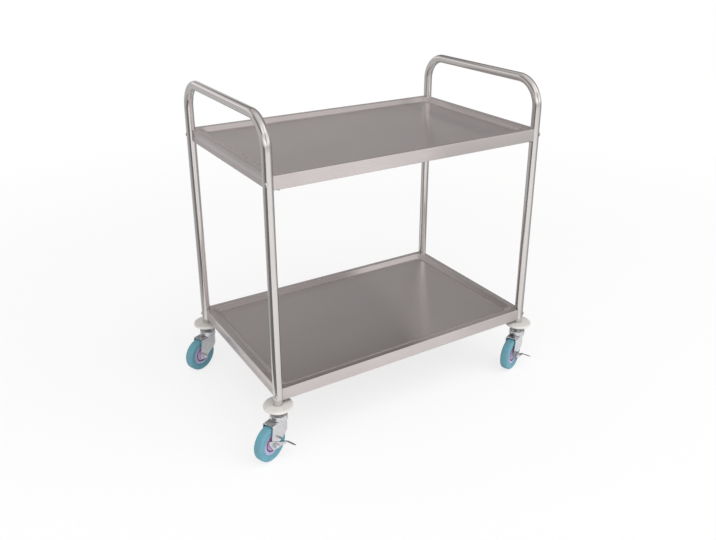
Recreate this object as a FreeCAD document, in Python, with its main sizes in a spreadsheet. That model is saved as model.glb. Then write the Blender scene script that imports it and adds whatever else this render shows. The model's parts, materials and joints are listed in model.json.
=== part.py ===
# Two-tier serving trolley: two bent-tube end frames, two pressed shelves bolted between their legs,
# round wall bumpers under the legs and four swivel castors, the two front ones with side brakes.
# X runs along the trolley, the front faces -Y, and the origin is on the floor below its middle.
import FreeCAD
import Part
import Sketcher
import math
import os
from types import SimpleNamespace

# Driving dimensions in millimetres, and two angles in degrees
dimensions = {
    # End frames
    "frame_spacing": 830.0,       # between the centre planes of the two end frames
    "leg_spacing": 508.0,         # between the leg centres of one end frame
    "tube_diameter": 25.4,
    "tube_wall": 1.2,
    "bend_radius": 76.0,          # of the tube's centre line at the handle
    "handle_rise": 146.0,         # top of the handle above the upper shelf's ledge
    "shelf_pitch": 573.0,         # between the ledges of the two shelves
    "shelf_clearance": 15.0,      # lower shelf's bottom edge above the ends of the legs
    # Shelves
    "sheet_thickness": 1.0,
    "skirt_height": 35.0,
    "skirt_offset": 8.5,          # front and back skirts outside the leg centres
    "end_offset": 1.5,            # end skirts outside the leg centres
    "hem_width": 9.0,
    "ledge_width": 16.0,
    "slope_width": 19.0,
    "tray_depth": 11.5,
    "tray_corner": 24.0,          # corner radius where the slope starts
    "notch_clearance": 0.2,       # leg tube in the shelf's corner notch
    "rib_width": 60.0,
    "rib_height": 15.0,
    "rib_flange": 14.0,
    "rib_end_gap": 45.0,          # end of the rib to the end of the tray floor
    # Shelf bolts and nuts
    "bolt_diameter": 6.0,
    "bolt_head_diameter": 11.5,
    "bolt_head_height": 3.4,
    "bolt_spare": 2.0,            # thread that shows past the nut
    "bolt_clearance": 0.2,        # radial, in the tube and the notch wall
    "nut_width": 10.0,            # across the flats
    "nut_height": 5.0,
    "thread_clearance": 0.05,     # radial, of threads and pressed-on pieces
    # Bumpers and leg inserts
    "bumper_diameter": 79.0,
    "bumper_thickness": 9.0,
    "bumper_recess": 4.0,         # depth of the seat for the leg
    "bumper_clearance": 0.2,
    "insert_gap": 4.0,            # ends of the insert and the stem below the lower shelf bolts
    # Castor stems, cups and balls
    "stem_diameter": 12.0,
    "hex_width": 19.0,
    "hex_height": 8.0,
    "shoulder_diameter": 18.0,
    "shoulder_height": 22.5,      # cup's recess floor to the underside of the bumper
    "rivet_diameter": 18.0,
    "rivet_height": 3.0,
    "swivel_gap": 0.3,            # rivet head below the fork's crown
    "swivel_fit": 0.05,           # radial, kingpin in the fork
    "cup_diameter": 47.0,
    "cup_wall": 2.2,
    "cup_gap": 0.8,               # cup's lower edge above the fork's crown
    "cup_rim": 3.0,               # rim of the cup above its recess floor
    "cup_edge": 3.5,
    "recess_clearance": 2.0,
    "race_gap": 2.3,              # edge of the lower race to the inside of the cup
    "race_height": 2.5,
    "ball_diameter": 5.0,
    "ball_inset": 7.3,            # ball centres to the inside of the cup
    "ball_gap": 0.3,
    # Forks
    "fork_sheet": 2.5,
    "wheel_clearance": 3.0,       # tread to the underside of the crown
    "wheel_side_gap": 2.0,        # tyre to the inside of each leg
    "crown_reach": 42.0,          # crown behind the swivel axis
    "crown_lead": 23.0,           # crown ahead of the swivel axis
    "leg_end_radius": 12.0,
    "knee_lead": 18.5,            # bend of the leg's front edge ahead of the swivel axis
    "knee_height": 21.0,          # and above the axle
    "wheel_trail": 39.0,
    "swivel_rest": 203.0,         # direction of the trail at rest, in degrees about Z
    # Wheels and axles
    "wheel_diameter": 100.0,
    "tyre_width": 26.0,
    "tyre_shoulder": 5.0,
    "tyre_flank": 5.0,            # height of the slanted foot of the tyre's side
    "hub_diameter": 61.0,
    "hub_width": 20.0,
    "boss_diameter": 22.0,
    "boss_side_gap": 0.8,         # boss to the inside of the fork
    "groove_inner": 37.0,
    "groove_width": 4.0,
    "groove_depth": 2.5,
    "bush_diameter": 13.0,
    "axle_diameter": 8.0,
    "axle_fit": 0.05,             # radial, axle in the bush and in the brake lever
    "axle_hex": 13.0,
    "axle_head_height": 5.3,
    "axle_nut_height": 6.5,
    # Brake levers
    "lever_thickness": 2.0,
    "lever_gap": 0.3,             # lever to the fork and to the nut
    "lever_boss_radius": 13.0,
    "lever_tail_reach": 28.0,     # tip of the tail behind the axle
    "lever_tail_rise": 27.0,      # and above it
    "lever_nose_reach": 36.0,     # top of the nose ahead of the axle
    "lever_nose_drop": 9.0,       # and below it
    "pedal_length": 32.0,
    "pedal_width": 15.0,
    "pedal_tilt": 143.0,          # turn of the pedal about the axle's direction, in degrees
    # One length for every cut that runs past its piece
    "overrun": 2.0,
}

# Shares of the sizes that they follow
hex_share = 1 / math.sqrt(3)          # corner radius of a hexagon by its width across flats
diagonal_share = math.sqrt(0.5)       # step along X and along Y of a step along the diagonal
fold_share = 1.5                      # outer bend radius by sheet thickness
edge_share = 0.42                     # bumper's edge radius by its thickness
slope_corner_share = 0.6              # loss of corner radius down the tray's slope, by the slope's width
dome_share = 0.46                     # cap nut's dome radius by its width across flats
nut_depth_share = 0.9                 # blind thread in a cap nut by its height
ball_count = 12

doc = FreeCAD.newDocument("trolley")
sheet = doc.addObject("Spreadsheet::Sheet", "sizes")
for row, (alias, amount) in enumerate(dimensions.items(), 1):
    sheet.set(f"A{row}", alias)
    sheet.set(f"B{row}", str(amount))
    sheet.setAlias(f"B{row}", alias)
doc.recompute()


# A size held both as an expression of the sheet's cells and as its present number
class Size:
    def __init__(self, text, number):
        self.text = text
        self.number = number

    def join(self, sign, other, swap=False):
        other = other if isinstance(other, Size) else Size(repr(other), other)
        left, right = (other, self) if swap else (self, other)
        number = {
            "+": lambda a, b: a + b,
            "-": lambda a, b: a - b,
            "*": lambda a, b: a * b,
            "/": lambda a, b: a / b,
        }[sign](left.number, right.number)
        return Size(f"({left.text} {sign} {right.text})", number)

    def __add__(self, other):
        return self.join("+", other)

    def __radd__(self, other):
        return self.join("+", other, True)

    def __sub__(self, other):
        return self.join("-", other)

    def __rsub__(self, other):
        return self.join("-", other, True)

    def __mul__(self, other):
        return self.join("*", other)

    def __rmul__(self, other):
        return self.join("*", other, True)

    def __truediv__(self, other):
        return self.join("/", other)

    def __neg__(self):
        return self.join("-", 0, True)


def cosine(angle):
    return Size(f"cos({angle.text})", math.cos(math.radians(angle.number)))


def sine(angle):
    return Size(f"sin({angle.text})", math.sin(math.radians(angle.number)))


d = SimpleNamespace(**{alias: Size(f"sizes.{alias}", float(sheet.get(alias))) for alias in dimensions})

# Heights, stacked up from the floor
axle_height = d.wheel_diameter / 2
crown_bottom = d.wheel_diameter + d.wheel_clearance
crown_top = crown_bottom + d.fork_sheet
race_top = crown_top + d.race_height
cup_ceiling = race_top + d.ball_diameter + d.ball_gap
cup_floor = cup_ceiling + d.cup_wall
bumper_bottom = cup_floor + d.shoulder_height
leg_bottom = bumper_bottom + d.bumper_thickness - d.bumper_recess
lower_rim = leg_bottom + d.shelf_clearance + d.skirt_height
upper_rim = lower_rim + d.shelf_pitch
handle_top = upper_rim + d.handle_rise
insert_length = d.shelf_clearance + d.skirt_height / 2 - d.bolt_diameter / 2 - d.insert_gap

# Widths and radii that several pieces share
tube_radius = d.tube_diameter / 2
stem_radius = d.stem_diameter / 2
axle_radius = d.axle_diameter / 2
cup_radius = d.cup_diameter / 2
cup_inside = cup_radius - d.cup_wall
shelf_length = d.frame_spacing + 2 * d.end_offset
shelf_width = d.leg_spacing + 2 * d.skirt_offset
notch_radius = tube_radius + d.notch_clearance
notch_back = notch_radius + d.sheet_thickness
fork_inside = d.tyre_width / 2 + d.wheel_side_gap
fork_half = fork_inside + d.fork_sheet
boss_half = fork_inside - d.boss_side_gap

corners = {"front_left": (-1, -1), "front_right": (1, -1), "back_left": (-1, 1), "back_right": (1, 1)}
braked = ("front_left", "front_right")
nodes = []


# Bind properties of a document object to sizes
def bind(item, **values):
    for name, value in values.items():
        if isinstance(value, Size):
            item.setExpression(name, value.text)
        else:
            setattr(item, name, value)
    return item


# Put an object at a place, turned first where a turn is given
def place(item, x=0, y=0, z=0, turn=None):
    if turn:
        item.Placement = FreeCAD.Placement(FreeCAD.Vector(), turn)
    for axis, value in zip("xyz", (x, y, z)):
        if isinstance(value, Size):
            item.setExpression(f"Placement.Base.{axis}", value.text)
    return item


# Give a finished piece its name
def name(item, label):
    item.Label = label
    nodes.append(item)
    return item


def box(length, width, height, x=0, y=0, z=0):
    item = bind(doc.addObject("Part::Box", "box"), Length=length, Width=width, Height=height)
    return place(item, x, y, z)


def rod(radius, height, x=0, y=0, z=0, turn=None):
    item = bind(doc.addObject("Part::Cylinder", "rod"), Radius=radius, Height=height)
    return place(item, x, y, z, turn)


def hexagon(width, height, x=0, y=0, z=0, turn=None):
    item = doc.addObject("Part::Prism", "hexagon")
    bind(item, Polygon=6, Circumradius=width * hex_share, Height=height)
    return place(item, x, y, z, turn)


def fuse(*shapes):
    item = doc.addObject("Part::MultiFuse", "fuse")
    item.Shapes = list(shapes)
    return item


def cut(base, *tools):
    item = doc.addObject("Part::Cut", "cut")
    item.Base = base
    item.Tool = tools[0] if len(tools) == 1 else fuse(*tools)
    return item


def group(shapes):
    item = doc.addObject("Part::Compound", "group")
    item.Links = list(shapes)
    return item


to_y = FreeCAD.Rotation(FreeCAD.Vector(1, 0, 0), -90)


def newBody():
    return doc.addObject("PartDesign::Body", "body")


def newSketch(body, plane, lift=None):
    sketch = body.newObject("Sketcher::SketchObject", "sketch")
    support = next(item for item in body.Origin.OriginFeatures if item.Role == plane)
    sketch.AttachmentSupport = [(support, "")]
    sketch.MapMode = "FlatFace"
    if lift:
        sketch.setExpression("AttachmentOffset.Base.z", lift.text)
    return sketch


# Add a constraint with a size for its value
def limit(sketch, kind, *spots, value):
    number = value.number if isinstance(value, Size) else value
    index = sketch.addConstraint(Sketcher.Constraint(kind, *spots, number))
    if isinstance(value, Size):
        sketch.setExpression(f"Constraints[{index}]", value.text)


def pin(sketch, edge, end, across, up):
    limit(sketch, "DistanceX", -1, 1, edge, end, value=across)
    limit(sketch, "DistanceY", -1, 1, edge, end, value=up)


def spot(across, up):
    numbers = [value.number if isinstance(value, Size) else value for value in (across, up)]
    return FreeCAD.Vector(*numbers, 0)


def circleAt(across, up, radius):
    return Part.Circle(spot(across, up), FreeCAD.Vector(0, 0, 1), radius.number)


# Closed outline through corners (across, up); a third entry is the radius of an arc to the next corner,
# which bulges to the right of the way round
def outline(sketch, points):
    starts = [spot(*point[:2]) for point in points]
    ends = starts[1:] + starts[:1]
    for start, end, point in zip(starts, ends, points):
        if len(point) == 2:
            sketch.addGeometry(Part.LineSegment(start, end), False)
            continue
        radius = point[2].number
        half = (end - start) / 2
        reach = math.sqrt(max(radius * radius - half.Length * half.Length, 0))
        side = FreeCAD.Vector(-half.y, half.x, 0).normalize()
        circle = Part.Circle(start + half + side * reach, FreeCAD.Vector(0, 0, 1), radius)
        sketch.addGeometry(Part.ArcOfCircle(circle, circle.parameter(start), circle.parameter(end)), False)
    for edge, point in enumerate(points):
        sketch.addConstraint(Sketcher.Constraint("Coincident", edge, 2, (edge + 1) % len(points), 1))
        pin(sketch, edge, 1, *point[:2])
        if len(point) == 3:
            limit(sketch, "Radius", edge, value=point[2])
    return sketch


# Solid turned about the sketch's upright axis: Z on the XZ plane, Y on the XY plane
def turned(points, plane="XZ_Plane"):
    body = newBody()
    sketch = outline(newSketch(body, plane), points)
    feature = body.newObject("PartDesign::Revolution", "turned")
    feature.Profile = sketch
    feature.ReferenceAxis = (sketch, ["V_Axis"])
    feature.Angle = 360
    return body


def padded(body, sketch, length, midplane=False, reverse=False):
    feature = body.newObject("PartDesign::Pad", "pad")
    feature.Profile = sketch
    feature.Midplane = midplane
    feature.Reversed = reverse
    return bind(feature, Length=length)


# Round the chosen edges of a body's last feature
def rounded(body, feature, radius, wanted):
    doc.recompute()
    chosen = [f"Edge{i}" for i, edge in enumerate(feature.Shape.Edges, 1) if wanted(edge.BoundBox)]
    fillet = body.newObject("PartDesign::Fillet", "rounding")
    fillet.Base = (feature, chosen)
    return bind(fillet, Radius=radius)


# Strap outline: straight edges through corners, closed by an arc about a centre that both end edges touch
def strap(sketch, points, centre, radius):
    spots = [spot(*point) for point in points]
    hub = spot(*centre)

    # Where the line from a corner touches the arc, on its left or right side
    def touch(corner, side):
        away = corner - hub
        angle = math.atan2(away.y, away.x) + side * math.acos(radius.number / away.Length)
        return angle, hub + FreeCAD.Vector(math.cos(angle), math.sin(angle), 0) * radius.number

    last_angle, last_touch = touch(spots[-1], 1)
    first_angle, first_touch = touch(spots[0], -1)
    stops = [first_touch] + spots + [last_touch]
    for start, end in zip(stops, stops[1:]):
        sketch.addGeometry(Part.LineSegment(start, end), False)
    circle = Part.Circle(hub, FreeCAD.Vector(0, 0, 1), radius.number)
    arc = sketch.addGeometry(Part.ArcOfCircle(circle, last_angle, first_angle), False)
    for edge, point in enumerate(points):
        sketch.addConstraint(Sketcher.Constraint("Coincident", edge, 2, edge + 1, 1))
        pin(sketch, edge, 2, *point)
    pin(sketch, arc, 3, *centre)
    limit(sketch, "Radius", arc, value=radius)
    sketch.addConstraint(Sketcher.Constraint("Tangent", len(points), 2, arc, 1))
    sketch.addConstraint(Sketcher.Constraint("Tangent", arc, 2, 0, 1))
    return sketch


# Point on the diagonal through a leg, so far outside the leg's centre
def cornerSpot(side, depth, out=0):
    step = out * diagonal_share
    return side * (d.frame_spacing / 2 + step), depth * (d.leg_spacing / 2 + step)


def outward(side, depth):
    return FreeCAD.Rotation(FreeCAD.Vector(0, 0, 1), FreeCAD.Vector(side, depth, 0))


def boltHole(side, depth, height):
    x, y = cornerSpot(side, depth, -notch_back - d.overrun)
    reach = notch_back + d.overrun + tube_radius + d.overrun
    return rod(d.bolt_diameter / 2 + d.bolt_clearance, reach, x, y, height, outward(side, depth))


# Inverted U of round tube: both legs and the handle of one end
def endFrame(side):
    body = newBody()
    half = d.leg_spacing / 2
    bend_height = handle_top - tube_radius - d.bend_radius
    path = newSketch(body, "YZ_Plane")
    low_left, high_left = spot(-half, leg_bottom), spot(-half, bend_height)
    low_right, high_right = spot(half, leg_bottom), spot(half, bend_height)
    top_left = spot(-half + d.bend_radius, handle_top - tube_radius)
    top_right = spot(half - d.bend_radius, handle_top - tube_radius)
    path.addGeometry(Part.LineSegment(low_left, high_left), False)
    left_bend = circleAt(-half + d.bend_radius, bend_height, d.bend_radius)
    path.addGeometry(Part.ArcOfCircle(left_bend, math.pi / 2, math.pi), False)
    path.addGeometry(Part.LineSegment(top_left, top_right), False)
    right_bend = circleAt(half - d.bend_radius, bend_height, d.bend_radius)
    path.addGeometry(Part.ArcOfCircle(right_bend, 0, math.pi / 2), False)
    path.addGeometry(Part.LineSegment(high_right, low_right), False)
    for first, first_end, second, second_end in ((0, 2, 1, 2), (1, 1, 2, 1), (2, 2, 3, 2), (3, 1, 4, 1)):
        path.addConstraint(Sketcher.Constraint("Tangent", first, first_end, second, second_end))
    path.addConstraint(Sketcher.Constraint("Horizontal", 2))
    path.addConstraint(Sketcher.Constraint("Equal", 1, 3))
    limit(path, "Radius", 1, value=d.bend_radius)
    limit(path, "DistanceY", -1, 1, 2, 1, value=handle_top - tube_radius)
    pin(path, 0, 1, -half, leg_bottom)
    pin(path, 4, 2, half, leg_bottom)
    ring = newSketch(body, "XY_Plane", leg_bottom)
    for index, radius in enumerate((tube_radius, tube_radius - d.tube_wall)):
        ring.addGeometry(circleAt(0, -half, radius), False)
        pin(ring, index, 3, 0, -half)
        limit(ring, "Radius", index, value=radius)
    pipe = body.newObject("PartDesign::AdditivePipe", "tube")
    pipe.Profile = ring
    pipe.Spine = path
    place(body, side * d.frame_spacing / 2)
    mid_heights = [rim - d.skirt_height / 2 for rim in (lower_rim, upper_rim)]
    return cut(body, *[boltHole(side, depth, height) for depth in (-1, 1) for height in mid_heights])


# Rectangle with round corners about the origin, at a height
def roundedRectangle(body, length, width, radius, height):
    sketch = newSketch(body, "XY_Plane", height)
    across, up = length / 2, width / 2
    points = [
        (-across + radius, -up),
        (across - radius, -up, radius),
        (across, -up + radius),
        (across, up - radius, radius),
        (across - radius, up),
        (-across + radius, up, radius),
        (-across, up - radius),
        (-across, -up + radius, radius),
    ]
    return outline(sketch, points)


# Tapered block with the form of the tray, its top at a height
def trayBlock(height):
    body = newBody()
    length, width = shelf_length - 2 * d.ledge_width, shelf_width - 2 * d.ledge_width
    mouth = roundedRectangle(body, length, width, d.tray_corner, height)
    floor_corner = d.tray_corner - d.slope_width * slope_corner_share
    floor_length, floor_width = length - 2 * d.slope_width, width - 2 * d.slope_width
    floor = roundedRectangle(body, floor_length, floor_width, floor_corner, height - d.tray_depth)
    loft = body.newObject("PartDesign::AdditiveLoft", "tray")
    loft.Profile = mouth
    loft.Sections = [floor]
    loft.Ruled = True
    return body


# Pressed shelf: skirt with an inward hem, flat ledge, sloped sides, tray floor and notched corners
def shelf(label, rim):
    blank = newBody()
    across, up = shelf_length / 2, shelf_width / 2
    rectangle = newSketch(blank, "XY_Plane")
    outline(rectangle, [(-across, -up), (across, -up), (across, up), (-across, up)])
    pad = padded(blank, rectangle, d.skirt_height, reverse=True)
    top = -d.sheet_thickness.number
    rounded(blank, pad, d.sheet_thickness * fold_share, lambda edge: edge.ZMin > top)
    inset = d.sheet_thickness
    hollow_height = d.skirt_height - 2 * d.sheet_thickness
    hollow = box(shelf_length - 2 * inset, shelf_width - 2 * inset, hollow_height,
                 -across + inset, -up + inset, -d.skirt_height + d.sheet_thickness)
    inset = d.sheet_thickness + d.hem_width
    mouth = box(shelf_length - 2 * inset, shelf_width - 2 * inset, d.sheet_thickness + 2 * d.overrun,
                -across + inset, -up + inset, -d.skirt_height - d.overrun)
    walls, notches, holes = [], [], []
    base, reach = -d.skirt_height - d.overrun, d.skirt_height + 2 * d.overrun
    for side, depth in corners.values():
        x, y = cornerSpot(side, depth)
        walls.append(rod(notch_back, reach, x, y, base))
        notches.append(rod(notch_radius, reach, x, y, base))
        holes.append(boltHole(side, depth, -d.skirt_height / 2))
    shell = cut(blank, cut(fuse(hollow, mouth), *walls))
    pressed = fuse(shell, trayBlock(-d.sheet_thickness))
    return name(place(cut(pressed, trayBlock(Size("0", 0)), *notches, *holes), z=rim), label)


# Hat-section rib under a tray floor
def rib(label, rim):
    body = newBody()
    half, foot, wall = d.rib_width / 2, d.rib_width / 2 + d.rib_flange, d.sheet_thickness
    low = -d.rib_height
    points = [
        (-foot, 0), (-foot, -wall), (-half, -wall), (-half, low), (half, low), (half, -wall),
        (foot, -wall), (foot, 0), (half - wall, 0), (half - wall, low + wall),
        (-half + wall, low + wall), (-half + wall, 0),
    ]
    length = shelf_length - 2 * (d.ledge_width + d.slope_width + d.rib_end_gap)
    padded(body, outline(newSketch(body, "YZ_Plane"), points), length, midplane=True)
    return name(place(body, z=rim - d.tray_depth - d.sheet_thickness), label)


# Dome-head bolt through a leg and its notch wall, its head outside
def shelfBolt(side, depth, height):
    head, rise, shank = d.bolt_head_diameter / 2, d.bolt_head_height, d.bolt_diameter / 2
    length = tube_radius + notch_back + d.nut_height + d.bolt_spare
    dome = (head * head + rise * rise) / (2 * rise)
    body = turned([(0, -length), (shank, -length), (shank, 0), (head, 0, dome), (0, rise)])
    x, y = cornerSpot(side, depth, tube_radius)
    return place(body, x, y, height, outward(side, depth))


def shelfNut(side, depth, height):
    x, y = cornerSpot(side, depth, -notch_back - d.nut_height)
    turn = outward(side, depth)
    blank = hexagon(d.nut_width, d.nut_height, x, y, height, turn)
    x, y = cornerSpot(side, depth, -notch_back - d.nut_height - d.overrun)
    bore = rod(d.bolt_diameter / 2 + d.thread_clearance, d.nut_height + 2 * d.overrun, x, y, height, turn)
    return cut(blank, bore)


def legInsert(side, depth):
    x, y = cornerSpot(side, depth)
    plug = rod(tube_radius - d.tube_wall - d.thread_clearance, insert_length, x, y, leg_bottom)
    reach = insert_length + 2 * d.overrun
    thread = rod(stem_radius + d.thread_clearance, reach, x, y, leg_bottom - d.overrun)
    return cut(plug, thread)


# Round bumper with a seat for the leg, its underside at the origin
def bumper():
    edge = d.bumper_thickness * edge_share
    rim, bore = d.bumper_diameter / 2, stem_radius + d.bumper_clearance
    seat, seat_floor = tube_radius + d.bumper_clearance, d.bumper_thickness - d.bumper_recess
    return turned([
        (bore, 0), (rim - edge, 0, edge), (rim, edge), (rim, d.bumper_thickness - edge, edge),
        (rim - edge, d.bumper_thickness), (seat, d.bumper_thickness), (seat, seat_floor), (bore, seat_floor),
    ])


# Forged stem: kingpin with its rivet head, hexagon, shoulder and thread into the leg
def stem():
    foot = crown_bottom - d.swivel_gap - d.rivet_height
    hex_top = cup_floor + d.hex_height
    return fuse(
        rod(stem_radius, leg_bottom + insert_length - foot, z=foot),
        rod(d.rivet_diameter / 2, d.rivet_height, z=foot),
        hexagon(d.hex_width, d.hex_height, z=cup_floor),
        rod(d.shoulder_diameter / 2, bumper_bottom - hex_top, z=hex_top),
    )


# Swivel cup on the stem: it covers the balls and holds the hexagon in its recess
def cup():
    bore, recess = stem_radius + d.thread_clearance, d.hex_width * hex_share + d.recess_clearance
    top = cup_floor + d.cup_rim
    foot = crown_top + d.cup_gap
    return turned([
        (bore, cup_ceiling), (cup_inside, cup_ceiling), (cup_inside, foot), (cup_radius, foot),
        (cup_radius, top - d.cup_edge, d.cup_edge), (cup_radius - d.cup_edge, top),
        (recess, cup_floor), (bore, cup_floor),
    ])


# Pressed fork: two legs folded down from a crown that carries the lower ball race
def fork():
    body = newBody()
    side = newSketch(body, "XZ_Plane")
    knee = (-d.knee_lead, axle_height + d.knee_height)
    crown_edge = [(d.crown_reach, crown_top), (-d.crown_lead, crown_top)]
    strap(side, crown_edge + [knee], (d.wheel_trail, axle_height), d.leg_end_radius)
    pad = padded(body, side, 2 * fork_half, midplane=True)
    edge_height = crown_bottom.number
    rounded(body, pad, d.fork_sheet * fold_share, lambda edge: edge.ZMin > edge_height and edge.YLength == 0)
    start = -d.crown_lead - d.overrun
    space = box(d.wheel_trail + d.leg_end_radius + d.overrun - start, 2 * fork_inside, crown_bottom,
                start, -fork_inside)
    crown = rod(cup_radius, d.fork_sheet, z=crown_bottom)
    race = rod(cup_inside - d.race_gap, d.race_height, z=crown_top)
    reach = race_top - crown_bottom + 2 * d.overrun
    kingpin = rod(stem_radius + d.swivel_fit, reach, z=crown_bottom - d.overrun)
    axle = rod(axle_radius + d.thread_clearance, 2 * (fork_half + d.overrun), d.wheel_trail,
               -fork_half - d.overrun, axle_height, to_y)
    return cut(fuse(cut(body, space), crown, race), kingpin, axle)


def balls():
    ring, reach = [], cup_inside - d.ball_inset
    for index in range(ball_count):
        angle = 2 * math.pi * index / ball_count
        ball = bind(doc.addObject("Part::Sphere", "ball"), Radius=d.ball_diameter / 2)
        x, y = reach * math.cos(angle), reach * math.sin(angle)
        ring.append(place(ball, x, y, race_top + d.ball_diameter / 2))
    return group(ring)


# The wheel's pieces lie about the wheel's centre, with the axle along Y
def hub():
    bore, boss, rim = d.bush_diameter / 2, d.boss_diameter / 2, d.hub_diameter / 2
    near, face = d.groove_inner / 2, d.hub_width / 2
    far, bed = near + d.groove_width, face - d.groove_depth
    half = [
        (bore, boss_half), (boss, boss_half), (boss, face), (near, face),
        (near, bed), (far, bed), (far, face), (rim, face),
    ]
    return turned([(r, -y) for r, y in half] + half[::-1], "XY_Plane")


def tyre():
    seat, tread, half = d.hub_diameter / 2, d.wheel_diameter / 2, d.tyre_width / 2
    foot, shoulder = d.hub_width / 2, tread - d.tyre_shoulder
    flank = seat + d.tyre_flank
    return turned([
        (seat, -foot), (flank, -half), (shoulder, -half, d.tyre_shoulder), (tread, -half + d.tyre_shoulder),
        (tread, half - d.tyre_shoulder, d.tyre_shoulder), (shoulder, half), (flank, half), (seat, foot),
    ], "XY_Plane")


def bush():
    bore = rod(axle_radius + d.axle_fit, 2 * (boss_half + d.overrun), y=-boss_half - d.overrun, turn=to_y)
    return cut(rod(d.bush_diameter / 2, 2 * boss_half, y=-boss_half, turn=to_y), bore)


# Where the axle's nut starts, outside the fork or outside the brake lever
def nutSeat(with_brake):
    return fork_half + 2 * d.lever_gap + d.lever_thickness if with_brake else fork_half


def axleBolt(with_brake):
    head = hexagon(d.axle_hex, d.axle_head_height, y=-fork_half - d.axle_head_height, turn=to_y)
    reach = fork_half + nutSeat(with_brake) + d.axle_nut_height * nut_depth_share
    return fuse(head, rod(axle_radius, reach, y=-fork_half, turn=to_y))


def axleNut(with_brake):
    seat = nutSeat(with_brake)
    dome = bind(doc.addObject("Part::Sphere", "dome"), Radius=d.axle_hex * dome_share)
    place(dome, y=seat + d.axle_nut_height)
    blank = fuse(hexagon(d.axle_hex, d.axle_nut_height, y=seat, turn=to_y), dome)
    behind = box(2 * d.axle_hex, d.axle_hex, 2 * d.axle_hex, -d.axle_hex, seat - d.axle_hex, -d.axle_hex)
    bore = rod(axle_radius + d.thread_clearance, d.axle_nut_height + d.overrun, y=seat - d.overrun, turn=to_y)
    return cut(blank, behind, bore)


# Stamped brake lever that turns on the axle outside the fork, with its pedal bent outward
def brakeLever():
    body = newBody()
    start = fork_half + d.lever_gap
    side = newSketch(body, "XZ_Plane", -start)
    nose, drop = -d.lever_nose_reach, -d.lever_nose_drop
    nose_end = (nose + d.pedal_width * cosine(d.pedal_tilt), drop - d.pedal_width * sine(d.pedal_tilt))
    tail = (d.lever_tail_reach, d.lever_tail_rise)
    strap(side, [tail, (nose, drop), nose_end], (0, 0), d.lever_boss_radius)
    padded(body, side, d.lever_thickness, reverse=True)
    pedal = box(d.pedal_width, d.pedal_length, d.lever_thickness)
    pedal.Placement.Rotation = FreeCAD.Rotation(FreeCAD.Vector(0, 1, 0), d.pedal_tilt.number)
    place(pedal, nose, start, drop)
    bore = rod(axle_radius + d.axle_fit, d.lever_thickness + 2 * d.overrun, y=start - d.overrun, turn=to_y)
    return cut(fuse(body, pedal), bore)


# Put a castor piece, drawn with its trail along X, so far along the trail and above the floor
def onCastor(item, side, depth, along=0, height=0):
    x, y = cornerSpot(side, depth)
    place(item, x + along * cosine(d.swivel_rest), y + along * sine(d.swivel_rest), height)
    return bind(item, **{"Placement.Rotation.Angle": d.swivel_rest})


def castor(corner, side, depth):
    with_brake = corner in braked
    above_floor = {"stem": stem(), "cup": cup(), "fork": fork(), "balls": balls()}
    about_axle = {
        "hub": hub(), "tyre": tyre(), "bush": bush(),
        "axle": axleBolt(with_brake), "axle_nut": axleNut(with_brake),
    }
    if with_brake:
        about_axle["brake_lever"] = brakeLever()
    for piece, item in above_floor.items():
        name(onCastor(item, side, depth), f"{corner}_{piece}")
    for piece, item in about_axle.items():
        name(onCastor(item, side, depth, d.wheel_trail, axle_height), f"{corner}_{piece}")
    x, y = cornerSpot(side, depth)
    name(place(bumper(), x, y, bumper_bottom), f"{corner}_bumper")


name(endFrame(-1), "left_end_frame")
name(endFrame(1), "right_end_frame")
for level, rim in (("lower", lower_rim), ("upper", upper_rim)):
    shelf(f"{level}_shelf", rim)
    rib(f"{level}_shelf_rib", rim)
    middle = rim - d.skirt_height / 2
    name(group([shelfBolt(*spread, middle) for spread in corners.values()]), f"{level}_shelf_bolts")
    name(group([shelfNut(*spread, middle) for spread in corners.values()]), f"{level}_shelf_nuts")
name(group([legInsert(*spread) for spread in corners.values()]), "leg_inserts")
for corner, spread in corners.items():
    castor(corner, *spread)
doc.recompute()

# Nothing is written unless every object and every piece is sound
for item in doc.Objects:
    if {"Invalid", "Error"} & set(item.State):
        raise RuntimeError(f"{item.Name} of {item.Label} is {item.State}")
for item in nodes:
    if item.Shape.isNull() or not item.Shape.isValid():
        raise RuntimeError(f"{item.Label} has no valid shape")
os.makedirs("parts", exist_ok=True)
for item in nodes:
    item.Shape.exportStep(f"parts/{item.Label}.step")
    print(item.Label, len(item.Shape.Solids), round(item.Shape.Volume))
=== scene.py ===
import json
import math
import bpy
import bmesh
from mathutils import Matrix, Vector


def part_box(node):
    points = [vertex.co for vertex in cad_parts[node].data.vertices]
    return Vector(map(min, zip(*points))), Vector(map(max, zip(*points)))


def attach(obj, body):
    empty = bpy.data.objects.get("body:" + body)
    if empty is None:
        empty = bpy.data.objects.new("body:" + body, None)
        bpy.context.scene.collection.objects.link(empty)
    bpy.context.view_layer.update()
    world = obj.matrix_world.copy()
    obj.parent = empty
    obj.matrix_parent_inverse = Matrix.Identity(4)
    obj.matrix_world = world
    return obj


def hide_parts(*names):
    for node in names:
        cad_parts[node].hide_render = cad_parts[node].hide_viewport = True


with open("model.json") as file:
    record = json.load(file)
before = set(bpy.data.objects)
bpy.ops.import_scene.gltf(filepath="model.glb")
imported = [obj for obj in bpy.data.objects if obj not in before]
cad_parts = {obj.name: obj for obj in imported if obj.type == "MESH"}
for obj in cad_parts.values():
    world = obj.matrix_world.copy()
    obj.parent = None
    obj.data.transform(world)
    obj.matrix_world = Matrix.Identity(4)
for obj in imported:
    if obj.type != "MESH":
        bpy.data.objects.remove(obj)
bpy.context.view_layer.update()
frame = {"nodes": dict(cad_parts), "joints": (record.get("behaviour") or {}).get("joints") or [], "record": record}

nodes = frame["nodes"]
joints = {joint["name"]: joint for joint in frame["joints"]}
corners = ("front_left", "front_right", "back_left", "back_right")
braked = ("front_left", "front_right")
print("frame loaded:", len(nodes), "nodes")


# shader wiring

noiseMiddle = 0.5  # the value that a noise varies about


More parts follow.
